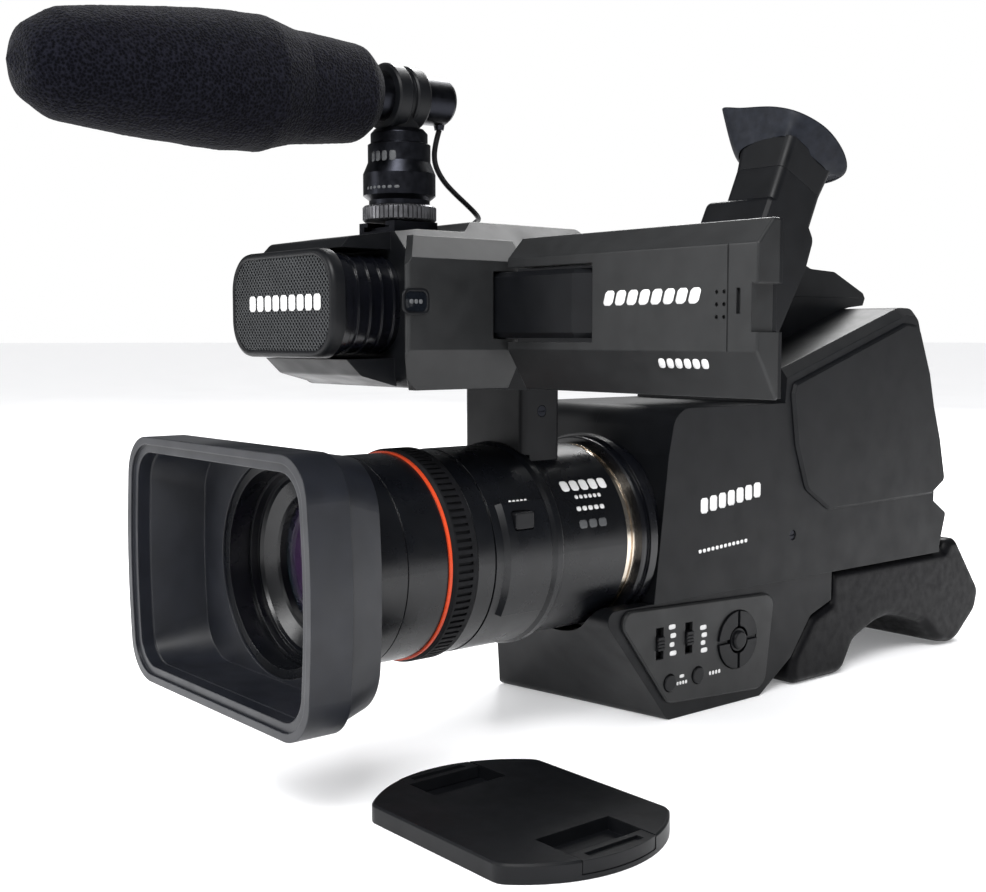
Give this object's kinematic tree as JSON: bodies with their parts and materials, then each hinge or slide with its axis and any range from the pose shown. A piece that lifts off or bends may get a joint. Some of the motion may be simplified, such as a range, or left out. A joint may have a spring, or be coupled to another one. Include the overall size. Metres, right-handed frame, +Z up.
{
  "type": "camcorder",
  "caption": "Shoulder camcorder with zoom lens and rectangular hood, top handle, swing-out screen, tilting viewfinder, shotgun microphone and loose lens cap.",
  "frame": {"origin": "mouth of the tripod socket in the underside, on the vertical plane of the lens axis, at floor level", "axes": "+X to the operator's left, -Y towards the lens, +Z up"},
  "size_m": [0.291, 0.5674, 0.3081],
  "materials": {
    "body_plastic": "fine satin moulded grain",
    "panel_plastic": "dark grey satin",
    "hood_plastic": "slate grey satin",
    "gloss_black": "polished black",
    "rubber_black": "matt rubber",
    "accent_orange": "orange paint",
    "chrome_warm": "warm bright ring",
    "lens_black": "satin black",
    "glass_coated": "coated",
    "key_plastic": "satin",
    "steel": "brushed",
    "dark_metal": "black anodised",
    "wheel_metal": "grey anodised, knurled",
    "foam": "open-cell foam",
    "strap": "padded webbing",
    "board": "solder mask",
    "screen": "display glass",
    "cable": "flexible jacket"
  },
  "bodies": {
    "camera_body": {"lens_hood": "hood_plastic", "lens_front_tube": "lens_black", "accent_ring": "accent_orange", "lens_barrel": "lens_black", "lens_rear_tube": "lens_black", "chrome_ring": "chrome_warm", "lens_mount_bezel": "gloss_black", "name_ring": "lens_black", "front_lens": "glass_coated", "body_shell_left": "body_plastic", "body_shell_right": "body_plastic", "rear_side_cover": "body_plastic", "control_block": "body_plastic", "control_panel": "panel_plastic", "tripod_plate": "steel", "shoulder_pad": "rubber_black", "main_board": "board", "sensor_block": "dark_metal", "battery_pack": "key_plastic", "handle_lower_shell": "body_plastic", "handle_upper_shell": "body_plastic", "mic_housing": "gloss_black", "mic_grille": "dark_metal", "hinge_block": "panel_plastic", "accessory_shoe": "dark_metal", "mic_stem": "dark_metal", "mic_tube": "dark_metal", "mic_clamp": "body_plastic", "foam_windscreen": "foam", "mic_cable": "cable", "cable_plug": "cable", "hand_grip": "rubber_black", "hand_strap": "strap", "case_screws": "dark_metal"},
    "focus_ring": {"focus_ring": "rubber_black"},
    "function_button": {"function_button": "key_plastic"},
    "iris_switch": {"iris_switch": "key_plastic"},
    "gain_switch": {"gain_switch": "key_plastic"},
    "menu_key": {"menu_key": "key_plastic"},
    "display_key": {"display_key": "key_plastic"},
    "four_way_ring": {"four_way_ring": "key_plastic"},
    "centre_stick": {"centre_stick": "key_plastic"},
    "battery_door": {"battery_door": "body_plastic"},
    "card_door": {"card_door": "body_plastic"},
    "screen_yoke": {"lcd_yoke": "body_plastic"},
    "screen_panel": {"lcd_back_shell": "panel_plastic", "lcd_bezel": "body_plastic", "lcd_screen": "screen"},
    "viewfinder": {"vf_housing": "body_plastic", "vf_eyepiece": "body_plastic", "vf_lens": "glass_coated", "vf_eyecup": "rubber_black"},
    "diopter_dial": {"diopter_dial": "key_plastic"},
    "lock_wheel": {"lock_wheel": "wheel_metal"},
    "lens_cap": {"lens_cap": "body_plastic"},
    "cap_latch_left": {"cap_latch_left": "body_plastic"},
    "cap_latch_right": {"cap_latch_right": "body_plastic"},
    "zoom_rocker": {"zoom_rocker": "key_plastic"},
    "record_button": {"record_button": "key_plastic"},
    "strap_ring": {"strap_ring": "steel"}
  },
  "joints": [
    {"name": "focus_turn", "type": "hinge", "parent": "camera_body", "child": "focus_ring", "pos_m": [0, -0.157, 0.0877], "axis": [0, 1, 0], "continuous": true},
    {"name": "function_press", "type": "slide", "parent": "camera_body", "child": "function_button", "axis": [-1, 0, 0], "range_m": [0, 0.0008], "stiffness_N_per_m": 400},
    {"name": "iris_slide", "type": "slide", "parent": "camera_body", "child": "iris_switch", "axis": [0, 0, 1], "range_m": [-0.004, 0.004]},
    {"name": "gain_slide", "type": "slide", "parent": "camera_body", "child": "gain_switch", "axis": [0, 0, 1], "range_m": [-0.004, 0.004]},
    {"name": "menu_press", "type": "slide", "parent": "camera_body", "child": "menu_key", "axis": [-1, 0, 0], "range_m": [0, 0.0006], "stiffness_N_per_m": 400},
    {"name": "display_press", "type": "slide", "parent": "camera_body", "child": "display_key", "axis": [-1, 0, 0], "range_m": [0, 0.0006], "stiffness_N_per_m": 400},
    {"name": "four_way_press", "type": "slide", "parent": "camera_body", "child": "four_way_ring", "axis": [-1, 0, 0], "range_m": [0, 0.0006], "stiffness_N_per_m": 400},
    {"name": "stick_press", "type": "slide", "parent": "camera_body", "child": "centre_stick", "axis": [-1, 0, 0], "range_m": [0, 0.0006], "stiffness_N_per_m": 400},
    {"name": "battery_door_swing", "type": "hinge", "parent": "camera_body", "child": "battery_door", "pos_m": [-0.03, 0.20072, 0.1037], "axis": [-1, 0, 0], "range_deg": [0, 100]},
    {"name": "card_door_swing", "type": "hinge", "parent": "camera_body", "child": "card_door", "pos_m": [-0.0599, 0.096, 0.1], "axis": [0, -1, 0], "range_deg": [0, 110]},
    {"name": "screen_swing", "type": "hinge", "parent": "camera_body", "child": "screen_yoke", "pos_m": [0.0545, -0.1455, 0.195], "axis": [0, 0, 1], "range_deg": [0, 90]},
    {"name": "screen_twist", "type": "hinge", "parent": "screen_yoke", "child": "screen_panel", "pos_m": [0.09, -0.1455, 0.195], "axis": [1, 0, 0], "range_deg": [-90, 180]},
    {"name": "viewfinder_tilt", "type": "hinge", "parent": "camera_body", "child": "viewfinder", "pos_m": [0.03, 0.034, 0.216], "axis": [1, 0, 0], "range_deg": [-65, 20]},
    {"name": "diopter_turn", "type": "hinge", "parent": "viewfinder", "child": "diopter_dial", "pos_m": [0.0249, 0.04787, 0.265], "axis": [1, 0, 0], "range_deg": [-60, 60]},
    {"name": "lock_wheel_turn", "type": "hinge", "parent": "camera_body", "child": "lock_wheel", "pos_m": [0, -0.157, 0.2345], "axis": [0, 0, 1], "continuous": true},
    {"name": "cap_lift", "type": "slide", "parent": "camera_body", "child": "lens_cap", "axis": [0, 0, 1], "range_m": [0, 0.026]},
    {"name": "cap_latch_left_press", "type": "slide", "parent": "lens_cap", "child": "cap_latch_left", "axis": [-1, 0, 0], "range_m": [0, 0.003], "stiffness_N_per_m": 300},
    {"name": "cap_latch_right_press", "type": "slide", "parent": "lens_cap", "child": "cap_latch_right", "axis": [1, 0, 0], "range_m": [0, 0.003], "stiffness_N_per_m": 300},
    {"name": "zoom_rock", "type": "hinge", "parent": "camera_body", "child": "zoom_rocker", "pos_m": [-0.066, 0.01, 0.1345], "axis": [1, 0, 0], "range_deg": [-7, 7], "stiffness_Nm_per_rad": 0.4},
    {"name": "record_press", "type": "slide", "parent": "camera_body", "child": "record_button", "axis": [0, -1, 0], "range_m": [0, 0.001], "stiffness_N_per_m": 400},
    {"name": "strap_ring_swing", "type": "hinge", "parent": "camera_body", "child": "strap_ring", "pos_m": [-0.011, 0.178, 0.206], "axis": [1, 0, 0], "range_deg": [0, 130]}
  ]
}
